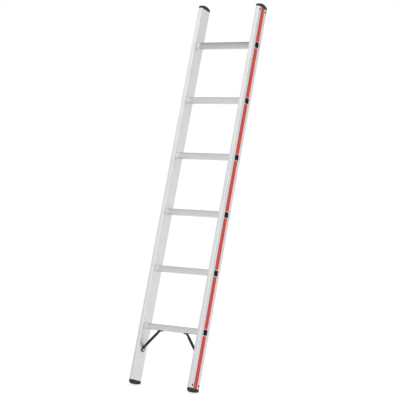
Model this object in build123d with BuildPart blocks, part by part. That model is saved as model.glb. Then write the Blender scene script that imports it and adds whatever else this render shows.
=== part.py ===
from build123d import *
from math import cos, pi, radians, sin, tan
import os

# A single section leaning ladder: two box rails, tube rungs, plastic end pieces and two corner braces.
# It stands as it is used, leaning back towards +Y with its feet on the floor at Z = 0.
# Sizes are in millimetres, angles in degrees. Left is -X and right is +X.

# The whole ladder
lean = 18.0
outer_width = 355.0
rung_count = 6
rung_pitch = 280.0
bottom_reach = 260.0
top_reach = 187.0

# Rails: hollow boxes, their outer face a shallow groove between two flat lands
rail_thickness = 22.0
rail_land = 18.0
rail_corner = 4.0
rail_wall = 1.6
groove_margin = 2.2
groove_depth = 0.5

# Rungs: tubes with a fluted tread and a flat face, beaded inside the rails and turned over outside them
rung_tread = 30.0
rung_face = 28.0
rung_corner = 5.0
rung_wall = 1.6
rung_fit = 0.1
flute_count = 5
flute_pitch = 4.0
flute_width = 1.2
flute_depth = 0.5
bead_rise = 1.6
bead_thickness = 2.0
bead_round = 0.8
lip_rise = 0.8
lip_thickness = 1.2

# Plugs in the rung ends: a hollow spigot in the bore under a flat head, which leaves a rim of the lip bare
plug_head = 1.2
plug_rim = 1.2
plug_round = 0.7
plug_depth = 12.0
plug_wall = 1.8
plug_fit = 0.25

# Moulded end pieces: an insert in the rail, held by two lugs in the outer wall
insert_depth = 28.0
insert_wall = 2.4
insert_fit = 0.25
lug_radius = 5.8
lug_fit = 0.15
lug_inset = 13.5
lug_recess = 0.4
lug_round = 0.5

# Domed caps on the upper ends
cap_edge = 11.5
cap_rise = 8.5
cap_corner_rest = 1.0

# Feet: a hard flange with a rubber sole that stands on its heel, then rises to a round toe
foot_flange = 4.5
sole_heel = 7.6
sole_land = 9.0
sole_bend = 40.0
sole_angle = 7.7
toe_length = 30.0
toe_drop = 4.0
sole_corner_rest = 2.5
tread_edge = 11.0
tread_count = 8
tread_pitch = 6.0
tread_width = 2.0
tread_depth = 1.6

# Corner braces: round tubes from the lowest rung to the rails, flattened and bent at both ends
brace_diameter = 13.0
brace_wall = 2.0
brace_neck = 16.0
brace_flat = 6.0
brace_bend = 2.5
brace_angle = 49.5
brace_run = 74.5
brace_tab = 16.5
brace_foot = 20.5
brace_tab_round = 5.0

# Blind rivets that hold the braces
rivet_radius = 2.4
rivet_fit = 0.1
rivet_edge = 9.0
rivet_head_radius = 4.75
rivet_head_rim = 0.5
rivet_head_round = 1.7
rivet_eye_radius = 1.3
rivet_eye_depth = 1.0
rivet_tail_radius = 3.6
rivet_tail = 3.2

# Coloured film strips in the rails' grooves
film_margin = 4.0
film_thickness = 0.25
film_gap = 1.4
film_inset = 0.5

# Heights along the rail, from its lower end
rung_heights = [bottom_reach + rung_pitch * i for i in range(rung_count)]
rail_length = rung_heights[-1] + top_reach
lug_heights = [lug_inset, rail_length - lug_inset]

# Sections of the rungs and rails
bore_tread = rung_tread - 2 * rung_wall
bore_face = rung_face - 2 * rung_wall
bore_corner = rung_corner - rung_wall
bead_tread = rung_tread + 2 * bead_rise
bead_height = rung_face + 2 * bead_rise
lip_tread = rung_tread + 2 * lip_rise
lip_height = rung_face + 2 * lip_rise
groove_width = lip_tread + 2 * groove_margin
film_width = groove_width - 2 * film_margin
rail_depth = groove_width + 2 * rail_land
cavity_thickness = rail_thickness - 2 * rail_wall
cavity_depth = rail_depth - 2 * rail_wall
cavity_corner = rail_corner - rail_wall
lug_spread = groove_width + rail_land - rail_corner

# Distances from the middle of the ladder
outer_face = outer_width / 2
inner_face = outer_face - rail_thickness
rail_middle = outer_face - rail_thickness / 2
groove_floor = outer_face - groove_depth
rung_end = groove_floor + lip_thickness
insert_face = outer_face - rail_wall - insert_fit

# The soles' heel, and the distances from the rail's end to the middle of the part that stands
slope = tan(radians(lean))
heel_height = foot_flange + sole_heel
stand_depth = rail_depth / 2 - sole_land / 2
stand_height = heel_height + slope * sole_land / 2

# The braces' flattened ends, under the lowest rung and on the rail's inner face, and their rivets
tab_thickness = 2 * brace_wall
tab_width = pi * (brace_diameter - brace_wall) / 2 + brace_wall
brace_top = rung_heights[0] - rung_face / 2 - tab_thickness / 2
brace_side = inner_face - tab_thickness / 2
brace_slope = radians(brace_angle)
brace_length = brace_run / cos(brace_slope)
upper_bend = (brace_side - brace_run, brace_top)
lower_bend = (brace_side, brace_top - brace_run * tan(brace_slope))
rung_rivet_x = upper_bend[0] - brace_tab + rivet_edge
rail_rivet_height = lower_bend[1] - brace_foot + rivet_edge

# Directions along and across the leaning rails, and the middle of their lower ends.
# The origin lies on the floor, midway between the soles' flat parts.
rail_dir = Vector(0, sin(radians(lean)), cos(radians(lean)))
depth_dir = Vector(0, cos(radians(lean)), -sin(radians(lean)))
rail_end = rail_dir * stand_height - depth_dir * stand_depth
rail_axis = Axis((0, 0, 0), rail_dir)
face_tolerance = 1e-6

# Plane through the rails' middle: x to the right, y up the rail, facing forward
front_plane = Plane(origin=rail_end, x_dir=(1, 0, 0), z_dir=-depth_dir)


def across(height):
    """Plane square to the rails: x to the right, y to the rear."""
    return Plane(origin=rail_end + rail_dir * height, x_dir=(1, 0, 0), z_dir=rail_dir)


def beside(x):
    """Plane parallel to the rails' side faces: x to the rear, y up the rail, facing right."""
    return Plane(origin=rail_end + Vector(x, 0, 0), x_dir=depth_dir, z_dir=(1, 0, 0))


def save(builder, name):
    builder.part.label = name
    export_step(builder.part, f"parts/{name}.step")


def runs_along_rail(face):
    """Whether a face's middle is square to the rail's section."""
    return abs(face.normal_at().dot(rail_dir)) < face_tolerance


def make_rail(side, name):
    with BuildPart() as rail:
        with BuildSketch(across(0)):
            with Locations((side * rail_middle, 0)):
                RectangleRounded(rail_thickness, rail_depth, rail_corner)
                RectangleRounded(cavity_thickness, cavity_depth, cavity_corner, mode=Mode.SUBTRACT)
            with Locations((side * outer_face, 0)):
                Rectangle(2 * groove_depth, groove_width, mode=Mode.SUBTRACT)
        extrude(amount=rail_length)
        # Openings for the rungs, through both walls
        with BuildSketch(beside(side * rail_middle)):
            with Locations(*[(0, height) for height in rung_heights]):
                RectangleRounded(rung_tread + 2 * rung_fit, rung_face + 2 * rung_fit, rung_corner + rung_fit)
        extrude(amount=rail_thickness, both=True, mode=Mode.SUBTRACT)
        # Lug holes through the outer wall
        with BuildSketch(beside(side * outer_face)):
            for height in lug_heights:
                with Locations((-lug_spread / 2, height), (lug_spread / 2, height)):
                    Circle(lug_radius + lug_fit)
        extrude(amount=-side * rail_thickness / 2, mode=Mode.SUBTRACT)
        # Rivet hole for the brace, through the inner wall
        with BuildSketch(beside(side * inner_face)):
            with Locations((0, rail_rivet_height)):
                Circle(rivet_radius + rivet_fit)
        extrude(amount=side * rail_thickness / 2, mode=Mode.SUBTRACT)
    save(rail, f"{name}_rail")


def make_rung(number):
    height = rung_heights[number]
    with BuildPart() as rung:
        for side in (-1, 1):
            # Bead against the rail's inner face
            with BuildSketch(beside(side * inner_face)):
                with Locations((0, height)):
                    RectangleRounded(bead_tread, bead_height, rung_corner + bead_rise)
            extrude(amount=-side * bead_thickness)
            free_face = rung.faces(Select.LAST).sort_by(lambda face: abs(face.center().X))[0]
            fillet(free_face.edges(), bead_round)
            # Lip turned over the rail's outer face
            with BuildSketch(beside(side * groove_floor)):
                with Locations((0, height)):
                    RectangleRounded(lip_tread, lip_height, rung_corner + lip_rise)
            extrude(amount=side * lip_thickness)
        # Tube from rail to rail, its tread fluted
        with BuildSketch(beside(0)):
            with Locations((0, height)):
                RectangleRounded(rung_tread, rung_face, rung_corner)
            with Locations((0, height + rung_face / 2)):
                with GridLocations(flute_pitch, 0, flute_count, 1):
                    Rectangle(flute_width, 2 * flute_depth, mode=Mode.SUBTRACT)
        extrude(amount=groove_floor, both=True)
        with BuildSketch(beside(0)):
            with Locations((0, height)):
                RectangleRounded(bore_tread, bore_face, bore_corner)
        extrude(amount=outer_width, both=True, mode=Mode.SUBTRACT)
        # The lowest rung is drilled from below for the braces
        if number == 0:
            with BuildSketch(across(height - rung_face / 2)):
                with Locations((-rung_rivet_x, 0), (rung_rivet_x, 0)):
                    Circle(rivet_radius + rivet_fit)
            extrude(amount=rung_face / 2, mode=Mode.SUBTRACT)
    save(rung, f"rung_{number + 1}")


def make_rung_plug(side, number, name):
    height = rung_heights[number]
    plug_tread = bore_tread - 2 * plug_fit
    plug_height = bore_face - 2 * plug_fit
    head_corner = rung_corner + lip_rise - plug_rim
    with BuildPart() as plug:
        # Spigot, hollow up to the head
        with BuildSketch(beside(side * (rung_end - plug_depth))):
            with Locations((0, height)):
                RectangleRounded(plug_tread, plug_height, bore_corner - plug_fit)
                Rectangle(plug_tread - 2 * plug_wall, plug_height - 2 * plug_wall, mode=Mode.SUBTRACT)
        extrude(amount=side * plug_depth)
        # Head on the turned lip
        with BuildSketch(beside(side * rung_end)):
            with Locations((0, height)):
                RectangleRounded(lip_tread - 2 * plug_rim, lip_height - 2 * plug_rim, head_corner)
        extrude(amount=side * plug_head)
        fillet(plug.faces().sort_by(Axis.X)[-1 if side > 0 else 0].edges(), plug_round)
    save(plug, f"{name}_rung_plug_{number + 1}")


def end_insert(side, rail_height, inward):
    """Hollow insert in a rail's end, with two lugs through the outer wall. inward is 1 up or -1 down."""
    thickness = cavity_thickness - 2 * insert_fit
    depth = cavity_depth - 2 * insert_fit
    lug_root = insert_face - insert_wall / 2
    lug_height = rail_height + inward * lug_inset
    with BuildPart() as insert:
        with BuildSketch(across(rail_height)):
            with Locations((side * rail_middle, 0)):
                RectangleRounded(thickness, depth, cavity_corner - insert_fit)
                Rectangle(thickness - 2 * insert_wall, depth - 2 * insert_wall, mode=Mode.SUBTRACT)
        extrude(amount=inward * insert_depth)
        with BuildSketch(beside(side * lug_root)):
            with Locations((-lug_spread / 2, lug_height), (lug_spread / 2, lug_height)):
                Circle(lug_radius)
        extrude(amount=side * (outer_face - lug_recess - lug_root))
        lug_ends = insert.faces().group_by(Axis.X)[-1 if side > 0 else 0]
        fillet(lug_ends.edges(), lug_round)
    return insert.part


def make_top_cap(side, name):
    half = rail_depth / 2
    edge = rail_length + cap_edge
    crown = edge + cap_rise
    insert = end_insert(side, rail_length, -1)
    with BuildPart() as cap:
        with BuildSketch(beside(side * rail_middle)):
            with BuildLine():
                Polyline((half, edge), (half, rail_length), (-half, rail_length), (-half, edge))
                ThreePointArc((-half, edge), (0, crown), (half, edge))
            make_face()
        extrude(amount=rail_thickness / 2, both=True)
        with BuildSketch(across(rail_length)):
            with Locations((side * rail_middle, 0)):
                RectangleRounded(rail_thickness, rail_depth, rail_corner)
        extrude(amount=cap_edge + cap_rise, mode=Mode.INTERSECT)
        fillet(cap.faces().sort_by(rail_axis)[-1].edges(), rail_corner - cap_corner_rest)
        add(insert)
    save(cap, f"{name}_top_cap")


def make_foot(side, name):
    insert = end_insert(side, 0, 1)
    with BuildPart() as foot:
        with BuildSketch(across(-foot_flange)):
            with Locations((side * rail_middle, 0)):
                RectangleRounded(rail_thickness, rail_depth, rail_corner)
        extrude(amount=foot_flange)
        add(insert)
    save(foot, f"{name}_foot")


def make_sole(side, name):
    half = rail_depth / 2
    toe_height = foot_flange + toe_drop
    with BuildPart() as sole:
        with BuildSketch(beside(side * rail_middle)):
            with BuildLine():
                Polyline((-half, -toe_height), (-half, -foot_flange),
                         (half, -foot_flange), (half, -heel_height))
                # Along the underside: heel on the floor, bend, straight middle and toe
                land = Line((half, -heel_height), (half - sole_land, -heel_height - slope * sole_land))
                bend = JernArc(land @ 1, land % 1, radius=sole_bend, arc_size=sole_angle - lean)
                middle_run = (bend @ 1).X + half - toe_length
                middle = PolarLine(bend @ 1, middle_run / cos(radians(sole_angle)), direction=bend % 1)
                toe = TangentArc(middle @ 1, (-half, -toe_height), tangent=middle % 1)
            make_face()
        extrude(amount=rail_thickness / 2, both=True)
        with BuildSketch(across(-foot_flange)):
            with Locations((side * rail_middle, 0)):
                RectangleRounded(rail_thickness, rail_depth, rail_corner)
        extrude(amount=-rail_depth, mode=Mode.INTERSECT)
        # Rounded rim, everywhere but against the foot
        top_face = sole.faces().sort_by(rail_axis)[-1]
        walls = sole.faces().filter_by(runs_along_rail)
        rim = walls.edges() - walls.edges().filter_by(rail_axis) - top_face.edges()
        fillet(rim, rail_corner - sole_corner_rest)
        # Tread grooves across the underside, from heel to toe
        underside = Wire([land, bend, middle, toe])
        with BuildSketch(beside(side * rail_middle)):
            for groove in range(tread_count):
                share = (tread_edge + tread_pitch * groove) / underside.length
                with Locations(Location(underside @ share, underside.tangent_angle_at(share))):
                    Rectangle(tread_width, 2 * tread_depth)
        extrude(amount=rail_thickness, both=True, mode=Mode.SUBTRACT)
    save(sole, f"{name}_foot_sole")


def make_stripe(side, number, name):
    keep_off = lip_height / 2 + film_gap
    ends = [film_inset - keep_off] + rung_heights + [rail_length + keep_off - film_inset]
    low = ends[number] + keep_off
    high = ends[number + 1] - keep_off
    with BuildPart() as stripe:
        with BuildSketch(beside(side * groove_floor)):
            with Locations((0, (low + high) / 2)):
                Rectangle(film_width, high - low)
        extrude(amount=side * film_thickness)
    save(stripe, f"{name}_stripe_{number + 1}")


def strut_plane(side, along):
    """Plane square to a brace's strut, so far along it from its upper bend: x to the rear."""
    x, height = upper_bend
    spot = (side * (x + along * cos(brace_slope)), height - along * sin(brace_slope), 0)
    direction = Vector(side * cos(brace_slope), 0, 0) - rail_dir * sin(brace_slope)
    return Plane(origin=front_plane.from_local_coords(spot), x_dir=depth_dir, z_dir=direction)


def make_brace(side, name):
    full = brace_flat + brace_neck
    flat_x = brace_flat * cos(brace_slope)
    flat_drop = brace_flat * sin(brace_slope)
    upper_end = [(upper_bend[0] - brace_tab, upper_bend[1]), upper_bend,
                 (upper_bend[0] + flat_x, upper_bend[1] - flat_drop)]
    lower_end = [(lower_bend[0] - flat_x, lower_bend[1] + flat_drop), lower_bend,
                 (lower_bend[0], lower_bend[1] - brace_foot)]
    with BuildPart() as brace:
        # Flattened ends, bent
        for points in (upper_end, lower_end):
            with BuildSketch(front_plane):
                with BuildLine():
                    FilletPolyline(*[(side * x, height) for x, height in points],
                                   radius=brace_bend + tab_thickness / 2)
                trace(line_width=tab_thickness)
            extrude(amount=tab_width / 2, both=True)
        fillet(brace.edges().filter_by(rail_axis).group_by(Axis.X)[0 if side > 0 else -1], brace_tab_round)
        fillet(brace.edges().filter_by(Axis.X).group_by(rail_axis)[0], brace_tab_round)
        # Necks where the tube is pressed flat
        for flat_place, full_place in ((brace_flat, full), (brace_length - brace_flat, brace_length - full)):
            with BuildSketch(strut_plane(side, flat_place)):
                Rectangle(tab_width, tab_thickness)
            with BuildSketch(strut_plane(side, full_place)):
                Circle(brace_diameter / 2)
            loft()
        # Round tube between them
        with BuildSketch(strut_plane(side, full)):
            Circle(brace_diameter / 2)
        extrude(amount=brace_length - 2 * full)
        with BuildSketch(strut_plane(side, full)):
            Circle(brace_diameter / 2 - brace_wall)
        extrude(amount=brace_length - 2 * full, mode=Mode.SUBTRACT)
        # Rivet holes
        with BuildSketch(across(brace_top - tab_thickness)):
            with Locations((side * rung_rivet_x, 0)):
                Circle(rivet_radius + rivet_fit)
        extrude(amount=2 * tab_thickness, mode=Mode.SUBTRACT)
        with BuildSketch(beside(side * (brace_side - tab_thickness))):
            with Locations((0, rail_rivet_height)):
                Circle(rivet_radius + rivet_fit)
        extrude(amount=side * 2 * tab_thickness, mode=Mode.SUBTRACT)
    save(brace, f"{name}_brace")


def make_rivet(seat, grip, name):
    """Rivet whose head sits on a plane that faces away from the work."""
    with BuildPart() as rivet:
        with BuildSketch(seat):
            Circle(rivet_head_radius)
        extrude(amount=rivet_head_rim + rivet_head_round)
        fillet(rivet.faces().sort_by(Axis(seat.origin, seat.z_dir))[-1].edges(), rivet_head_round)
        with BuildSketch(seat.offset(rivet_head_rim + rivet_head_round)):
            Circle(rivet_eye_radius)
        extrude(amount=-rivet_eye_depth, mode=Mode.SUBTRACT)
        with BuildSketch(seat):
            Circle(rivet_radius)
        extrude(amount=-grip)
        with BuildSketch(seat.offset(-grip)):
            Circle(rivet_tail_radius)
        extrude(amount=-rivet_tail)
    save(rivet, name)


def make_brace_rivets(side, name):
    rail_spot = beside(side * (brace_side - tab_thickness / 2)).from_local_coords((0, rail_rivet_height, 0))
    rail_seat = Plane(rail_spot, x_dir=depth_dir, z_dir=(-side, 0, 0))
    make_rivet(rail_seat, tab_thickness + rail_wall, f"{name}_brace_rail_rivet")
    rung_spot = across(brace_top - tab_thickness / 2).from_local_coords((side * rung_rivet_x, 0, 0))
    rung_seat = Plane(rung_spot, x_dir=(1, 0, 0), z_dir=-rail_dir)
    make_rivet(rung_seat, tab_thickness + rung_wall, f"{name}_brace_rung_rivet")


os.makedirs("parts", exist_ok=True)

for rung_number in range(rung_count):
    make_rung(rung_number)

for hand, word in ((-1, "left"), (1, "right")):
    make_rail(hand, word)
    make_top_cap(hand, word)
    make_foot(hand, word)
    make_sole(hand, word)
    make_brace(hand, word)
    make_brace_rivets(hand, word)
    for rung_number in range(rung_count):
        make_rung_plug(hand, rung_number, word)
    for bay in range(rung_count + 1):
        make_stripe(hand, bay, word)
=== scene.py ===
import bpy
import math
from mathutils import Euler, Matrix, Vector


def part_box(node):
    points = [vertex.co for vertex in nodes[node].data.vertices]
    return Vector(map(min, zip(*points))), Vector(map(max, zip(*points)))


# The looks of a single section leaning ladder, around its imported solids. Metres, +Z up, +Y to the rear.

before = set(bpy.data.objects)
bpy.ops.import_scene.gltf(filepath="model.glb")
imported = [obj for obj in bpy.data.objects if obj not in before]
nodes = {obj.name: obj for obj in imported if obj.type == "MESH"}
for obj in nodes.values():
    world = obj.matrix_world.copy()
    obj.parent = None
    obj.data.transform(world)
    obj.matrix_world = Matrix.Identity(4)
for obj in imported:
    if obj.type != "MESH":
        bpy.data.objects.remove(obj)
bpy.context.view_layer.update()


def middle(name):
    """The middle of a piece's box."""
    low_corner, high_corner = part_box(name)
    return (low_corner + high_corner) / 2


# How far the rails lean back, where the rungs are along them, and how far out the rails' two faces stand
RUNG_STEP = middle("rung_2") - middle("rung_1")
LEAN = math.atan2(RUNG_STEP.y, RUNG_STEP.z)
RUNG_PITCH = RUNG_STEP.length
FIRST_RUNG = middle("rung_1").dot(RUNG_STEP) / RUNG_PITCH
INNER_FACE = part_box("right_rail")[0].x
OUTER_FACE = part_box("right_rail")[1].x

# Painted shade on a rung: heights from its middle, the underside's share, and distances from the rails,
# where it gives way to a painted highlight on the rung's ends
UNDERSIDE_HEIGHT = -0.012
UPPER_SHADE_HEIGHT = 0.008
UNDERSIDE_SHADE_SHARE = 0.6
SHADE_FADES = 0.018
SHADE_ENDS = 0.006

# The painted shade on a rail's outer face: depths at which it begins and is full
OUTER_SHADE_BEGINS = 0.004
OUTER_SHADE_FULL = 0.001

# How textures are stretched: die lines along a rail or a rung, scuffs and scratches along a rail
ALONG_RAIL = (1, 1, 0.004)
ALONG_RUNG = (0.004, 1, 1)
SCUFF_STRETCH = (1, 1, 0.15)
SCRATCH_STRETCH = (1, 1, 0.02)

# The range in which most of a noise lies, and the cosines between which an edge goes from unworn to worn
NOISE_RANGE = (0.3, 0.7)
EDGE_RANGE = (0.99, 0.86)

# The floor: its width, its shade and the strength of its own glow
FLOOR_WIDTH = 400.0
FLOOR_SHADE = 0.5
FLOOR_GLOW = 0.65

# The room's glow: low and high in front, at the rear, and overhead as a share of these.
# Each change spans two values of a direction's Z or, from front to rear, of its Y.
FRONT_GLOW = (0.64, 1.24)
FRONT_RISE = (0.26, 0.42)
REAR_GLOW = 0.9
REAR_TURN = (-0.3, 0.3)
OVERHEAD_SHARE = 0.4
OVERHEAD_RISE = (0.62, 0.85)

# The key light: its strength and width, and how it is turned from shining straight down
KEY_ENERGY = 0.4
KEY_WIDTH = math.radians(40)
KEY_TILT = math.radians(57)
KEY_TURN = math.radians(40)

# The camera: where it stands, which way it looks from there, and its lens on a sensor in millimetres
CAMERA_PLACE = Vector((3.9005, -5.4034, 1.3759))
CAMERA_TURN = math.radians(34.515)
CAMERA_DIP = math.radians(4.262)
CAMERA_ROLL = math.radians(0.103)
FOCAL_PIXELS = 1446.3
IMAGE_PIXELS = 400
SENSOR = 36.0


def feed(tree, node, inputs):
    """Sets a node's inputs to values, or joins them to sockets."""
    for name, value in inputs.items():
        if isinstance(value, bpy.types.NodeSocket):
            tree.links.new(value, node.inputs[name])
        else:
            node.inputs[name].default_value = value


def add(tree, kind, inputs=None, **settings):
    """A new node, with its settings made and its inputs fed."""
    made = tree.nodes.new(kind)
    for name, value in settings.items():
        setattr(made, name, value)
    feed(tree, made, inputs or {})
    return made


def rail_coordinates(tree, stretch=(1, 1, 1)):
    """Places on the ladder, turned so that z runs along the rails, and stretched."""
    place = add(tree, "ShaderNodeTexCoord").outputs["Object"]
    upright = add(tree, "ShaderNodeMapping", {"Vector": place, "Rotation": (LEAN, 0, 0)}).outputs[0]
    return add(tree, "ShaderNodeMapping", {"Vector": upright, "Scale": stretch}).outputs[0]


def rail_coordinate(tree, axis):
    """One of a place's coordinates on the ladder, with Z along the rails."""
    return add(tree, "ShaderNodeSeparateXYZ", {"Vector": rail_coordinates(tree)}).outputs[axis]


def noise(tree, place, scale, detail=2.0, roughness=0.5):
    """Cloudy noise between 0 and 1."""
    inputs = {"Vector": place, "Scale": scale, "Detail": detail, "Roughness": roughness}
    return add(tree, "ShaderNodeTexNoise", inputs).outputs[0]


def spread(tree, value, old, new=(0.0, 1.0)):
    """A value from an old range in a new one, kept within it."""
    ranges = {"From Min": old[0], "From Max": old[1], "To Min": new[0], "To Max": new[1]}
    return add(tree, "ShaderNodeMapRange", {"Value": value, **ranges}).outputs[0]


def math_node(tree, operation, *values):
    """The result of an operation on one, two or three values."""
    return add(tree, "ShaderNodeMath", dict(enumerate(values)), operation=operation).outputs[0]


def mix(tree, factor, first, second, blend="MIX"):
    """Two colours mixed by a factor. A mix node's sockets go by number, because their names repeat."""
    inputs = {0: factor, 6: first, 7: second}
    return add(tree, "ShaderNodeMix", inputs, data_type="RGBA", blend_type=blend).outputs[2]


def mix_values(tree, factor, first, second):
    """Two single values mixed by a factor."""
    return add(tree, "ShaderNodeMix", {0: factor, 2: first, 3: second}, data_type="FLOAT").outputs[0]


def bump(tree, height, depth):
    """Normals for a fine relief of some depth."""
    return add(tree, "ShaderNodeBump", {"Height": height, "Distance": depth, "Strength": 1.0}).outputs[0]


def edge_mask(tree, radius):
    """1 on sharp edges, 0 elsewhere."""
    rounded = add(tree, "ShaderNodeBevel", {"Radius": radius}, samples=6).outputs[0]
    true_normal = add(tree, "ShaderNodeNewGeometry").outputs["Normal"]
    match = add(tree, "ShaderNodeVectorMath", {0: rounded, 1: true_normal}, operation="DOT_PRODUCT")
    return spread(tree, match.outputs["Value"], EDGE_RANGE)


def rgb(red, green, blue):
    """An opaque colour."""
    return (red, green, blue, 1.0)


def grey(shade):
    """An opaque grey."""
    return rgb(shade, shade, shade)


def scaled(colour, share):
    """A colour made darker or lighter."""
    return rgb(*[part * share for part in colour])


def start(name):
    """A new material and its node tree and shader."""
    material = bpy.data.materials.new(name)
    material.use_nodes = True
    return material, material.node_tree, material.node_tree.nodes["Principled BSDF"]


def side_reach(tree):
    """How far a place lies from the ladder's middle, to either side."""
    return math_node(tree, "ABSOLUTE", rail_coordinate(tree, "X"))


def painted_rung_shade(tree):
    """Painted shade on a rung: most on its upper half, less under it, and none beside the rails, which
    leaves a painted highlight on its ends.
    """
    half_pitch = RUNG_PITCH / 2
    along = rail_coordinate(tree, "Z")
    as_first = math_node(tree, "WRAP", along, FIRST_RUNG + half_pitch, FIRST_RUNG - half_pitch)
    heights = (FIRST_RUNG + UNDERSIDE_HEIGHT, FIRST_RUNG + UPPER_SHADE_HEIGHT)
    upper_half = spread(tree, as_first, heights, (UNDERSIDE_SHADE_SHARE, 1.0))
    ends = (INNER_FACE - SHADE_FADES, INNER_FACE - SHADE_ENDS)
    between_rails = spread(tree, side_reach(tree), ends, (1.0, 0.0))
    return math_node(tree, "MULTIPLY", upper_half, between_rails)


def outer_face_shade(tree):
    """Where shade is painted: 1 on the rails' outer faces, 0 further in."""
    return spread(tree, side_reach(tree), (OUTER_FACE - OUTER_SHADE_BEGINS, OUTER_FACE - OUTER_SHADE_FULL))


def aluminium(name, shade, roughness, streaks, axis, painted_shade_place=None, painted_shade_strength=0.0):
    """Extruded aluminium: die lines along the bar, faint clouding, scuffs, and painted shade over a given
    place.
    """
    material, tree, shader = start(name)
    lines = noise(tree, rail_coordinates(tree, streaks), scale=900.0, detail=3.0, roughness=0.6)
    clouds = noise(tree, rail_coordinates(tree), scale=14.0, detail=4.0, roughness=0.55)
    marks = noise(tree, rail_coordinates(tree, SCUFF_STRETCH), scale=210.0, detail=5.0, roughness=0.65)
    scuffs = spread(tree, marks, (0.66, 0.74))

    dark = scaled((0.95, 0.955, 0.965), shade)
    light = grey(shade * 1.04)
    worn = grey(shade * 1.12)
    streaked = mix(tree, lines, dark, light)
    clouded = mix(tree, spread(tree, clouds, NOISE_RANGE, (0.0, 0.25)), streaked, dark)
    faint_scuffs = math_node(tree, "MULTIPLY", scuffs, 0.35)
    wear = math_node(tree, "MAXIMUM", faint_scuffs, edge_mask(tree, radius=0.0012))
    colour = mix(tree, wear, clouded, worn)
    # Painted shade: the colour is darkened over the given place by the given strength
    if painted_shade_place:
        colour = mix(tree, painted_shade_place(tree), colour, grey(1 - painted_shade_strength), blend="MULTIPLY")

    cloud_roughness = spread(tree, clouds, NOISE_RANGE, (roughness - 0.04, roughness + 0.05))
    scuff_roughness = math_node(tree, "MULTIPLY", scuffs, 0.08)
    line_roughness = spread(tree, lines, NOISE_RANGE, (-0.03, 0.03))
    scuffed_roughness = math_node(tree, "ADD", cloud_roughness, scuff_roughness)

    feed(tree, shader, {
        "Base Color": colour,
        "Metallic": 0.85,
        "Roughness": math_node(tree, "ADD", scuffed_roughness, line_roughness),
        "Anisotropic": 0.7,
        "Tangent": add(tree, "ShaderNodeTangent", direction_type="RADIAL", axis=axis).outputs[0],
        "Normal": bump(tree, lines, depth=0.00002)})
    return material


def moulded(name, colour, gloss, roughness, grain_scale, grain_depth, wear):
    """Moulded plastic or rubber: fine grain, uneven sheen and paler edges."""
    material, tree, shader = start(name)
    place = rail_coordinates(tree)
    grain = noise(tree, place, grain_scale, detail=3.0, roughness=0.6)
    clouds = noise(tree, place, scale=60.0, detail=4.0, roughness=0.6)
    patches = spread(tree, clouds, (0.35, 0.65), (0.2, 1.0))
    worn_edges = math_node(tree, "MULTIPLY", edge_mask(tree, radius=0.0015), patches)
    body = mix(tree, spread(tree, clouds, NOISE_RANGE), scaled(colour, 0.82), scaled(colour, 1.25))
    feed(tree, shader, {
        "Base Color": mix(tree, worn_edges, body, scaled(colour, wear)),
        "Roughness": spread(tree, clouds, NOISE_RANGE, (roughness - 0.06, roughness + 0.06)),
        "Specular IOR Level": gloss,
        "Normal": bump(tree, grain, grain_depth)})
    return material


def coated_steel(name, colour):
    """Black coating with a slight orange peel, rubbed thin along the edges."""
    material, tree, shader = start(name)
    place = rail_coordinates(tree)
    peel = noise(tree, place, scale=850.0)
    clouds = noise(tree, place, scale=120.0, detail=5.0, roughness=0.65)
    patches = spread(tree, clouds, (0.48, 0.62))
    rubbed = math_node(tree, "MULTIPLY", edge_mask(tree, radius=0.001), patches)
    paint = mix(tree, spread(tree, clouds, NOISE_RANGE), scaled(colour, 0.85), scaled(colour, 1.2))
    bare_steel = rgb(0.22, 0.21, 0.2)
    feed(tree, shader, {
        "Base Color": mix(tree, rubbed, paint, bare_steel),
        "Roughness": spread(tree, clouds, NOISE_RANGE, (0.38, 0.5)),
        "Specular IOR Level": 0.2,
        "Normal": bump(tree, peel, depth=0.00004)})
    return material


def red_film(name):
    """Satin red film, a little faded and scratched along its length."""
    material, tree, shader = start(name)
    streaks = noise(tree, rail_coordinates(tree, SCRATCH_STRETCH), scale=1400.0)
    clouds = noise(tree, rail_coordinates(tree), scale=30.0, detail=4.0, roughness=0.6)
    scratches = spread(tree, streaks, (0.68, 0.75), (0.0, 0.5))
    deep = rgb(0.52, 0.037, 0.022)
    faded = rgb(0.59, 0.046, 0.028)
    scratched = rgb(0.68, 0.2, 0.15)
    film = mix(tree, spread(tree, clouds, NOISE_RANGE), deep, faded)
    feed(tree, shader, {
        "Base Color": mix(tree, scratches, film, scratched),
        "Roughness": spread(tree, clouds, NOISE_RANGE, (0.36, 0.46)),
        "Specular IOR Level": 0.28,
        "Normal": bump(tree, streaks, depth=0.00001)})
    return material


def dress(material, *words):
    """Gives the material to every node whose name holds one of the words."""
    for name, piece in nodes.items():
        if any(word in name for word in words):
            piece.data.materials.clear()
            piece.data.materials.append(material)


# The materials
# The rails' outer faces are painted a little darker, a painted shade
rail_aluminium = aluminium("rail_aluminium", shade=0.72, roughness=0.36, streaks=ALONG_RAIL,
                           axis="Z", painted_shade_place=outer_face_shade, painted_shade_strength=0.06)
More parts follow.
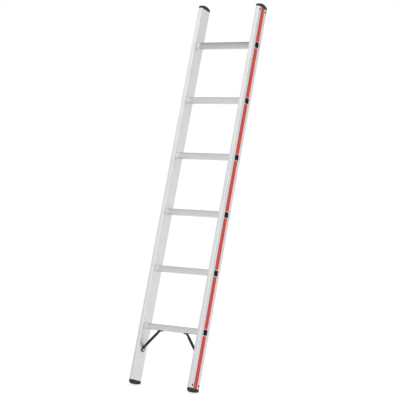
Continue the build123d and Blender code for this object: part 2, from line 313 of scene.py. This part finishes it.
# The rungs' aluminium has painted shade on its upper halves and a painted highlight on its ends, and the
# top rung has a darker copy with stronger painted shade
rung_aluminium = aluminium("rung_aluminium", shade=0.77, roughness=0.34, streaks=ALONG_RUNG,
                           axis="X", painted_shade_place=painted_rung_shade, painted_shade_strength=0.25)
top_rung_shaded_aluminium = aluminium("top_rung_shaded_aluminium", shade=0.8, roughness=0.34, streaks=ALONG_RUNG,
                               axis="X", painted_shade_place=painted_rung_shade, painted_shade_strength=0.54)
rivet_aluminium = aluminium("rivet_aluminium", shade=0.78, roughness=0.28, streaks=ALONG_RAIL, axis="Z")
cap_plastic = moulded("cap_plastic", colour=(0.034, 0.034, 0.036), gloss=0.15, roughness=0.6,
                      grain_scale=2400.0, grain_depth=0.00003, wear=1.8)
sole_rubber = moulded("sole_rubber", colour=(0.034, 0.034, 0.035), gloss=0.15, roughness=0.7,
                      grain_scale=1500.0, grain_depth=0.00006, wear=1.9)
plug_plastic = moulded("plug_plastic", colour=(0.006, 0.006, 0.0065), gloss=0.05, roughness=0.5,
                       grain_scale=2600.0, grain_depth=0.00003, wear=2.0)
brace_coating = coated_steel("brace_coating", colour=(0.02, 0.02, 0.021))
stripe_film = red_film("stripe_film")

# Where a piece's name fits several lines, the last of them counts
dress(rail_aluminium, "_rail")
dress(rung_aluminium, "rung_")
dress(top_rung_shaded_aluminium, "rung_6")
dress(cap_plastic, "_top_cap", "_foot")
dress(sole_rubber, "_foot_sole")
dress(plug_plastic, "_rung_plug")
dress(brace_coating, "_brace")
dress(rivet_aluminium, "_rivet")
dress(stripe_film, "_stripe")


def make_floor():
    """A wide pale floor with a little glow of its own."""
    half = FLOOR_WIDTH / 2
    corners = [(-half, -half, 0), (half, -half, 0), (half, half, 0), (-half, half, 0)]
    mesh = bpy.data.meshes.new("floor")
    mesh.from_pydata(corners, [], [(0, 1, 2, 3)])
    floor = bpy.data.objects.new("floor", mesh)
    bpy.context.scene.collection.objects.link(floor)
    material, tree, shader = start("pale_floor")
    feed(tree, shader, {
        "Base Color": grey(FLOOR_SHADE),
        "Roughness": 0.9,
        "Specular IOR Level": 0.0,
        "Emission Color": grey(1.0),
        "Emission Strength": FLOOR_GLOW})
    mesh.materials.append(material)


def make_world():
    """White all round for the camera, and for light a soft room: brightest in front, darkest overhead."""
    world = bpy.data.worlds.new("studio")
    bpy.context.scene.world = world
    world.use_nodes = True
    tree = world.node_tree
    direction = add(tree, "ShaderNodeTexCoord").outputs["Generated"]
    parts = add(tree, "ShaderNodeSeparateXYZ", {"Vector": direction}).outputs
    front = spread(tree, parts["Z"], FRONT_RISE, FRONT_GLOW)
    walls = mix_values(tree, spread(tree, parts["Y"], REAR_TURN), front, REAR_GLOW)
    overhead = spread(tree, parts["Z"], OVERHEAD_RISE, (1.0, OVERHEAD_SHARE))
    room = math_node(tree, "MULTIPLY", walls, overhead)
    seen = add(tree, "ShaderNodeLightPath").outputs["Is Camera Ray"]
    feed(tree, tree.nodes["Background"], {
        "Color": grey(1.0),
        "Strength": mix_values(tree, seen, room, 1.0)})


def make_light():
    """A wide soft key from the front right, a third of the way up."""
    light = bpy.data.lights.new("key", "SUN")
    light.energy = KEY_ENERGY
    light.angle = KEY_WIDTH
    key = bpy.data.objects.new("key", light)
    key.rotation_euler = Euler((KEY_TILT, 0, KEY_TURN))
    bpy.context.scene.collection.objects.link(key)


def make_camera():
    """The camera, which sees past the far edge of the floor."""
    lens = bpy.data.cameras.new("camera")
    lens.sensor_width = SENSOR
    lens.lens = SENSOR * FOCAL_PIXELS / IMAGE_PIXELS
    lens.clip_end = 2 * FLOOR_WIDTH
    camera = bpy.data.objects.new("camera", lens)
    camera.location = CAMERA_PLACE
    upright = math.pi / 2
    aim = Euler((upright - CAMERA_DIP, 0, CAMERA_TURN)).to_matrix()
    camera.rotation_euler = (aim @ Euler((0, 0, CAMERA_ROLL)).to_matrix()).to_euler()
    bpy.context.scene.collection.objects.link(camera)
    bpy.context.scene.camera = camera


make_floor()
make_world()
make_light()
make_camera()
bpy.context.scene.view_settings.view_transform = "Standard"
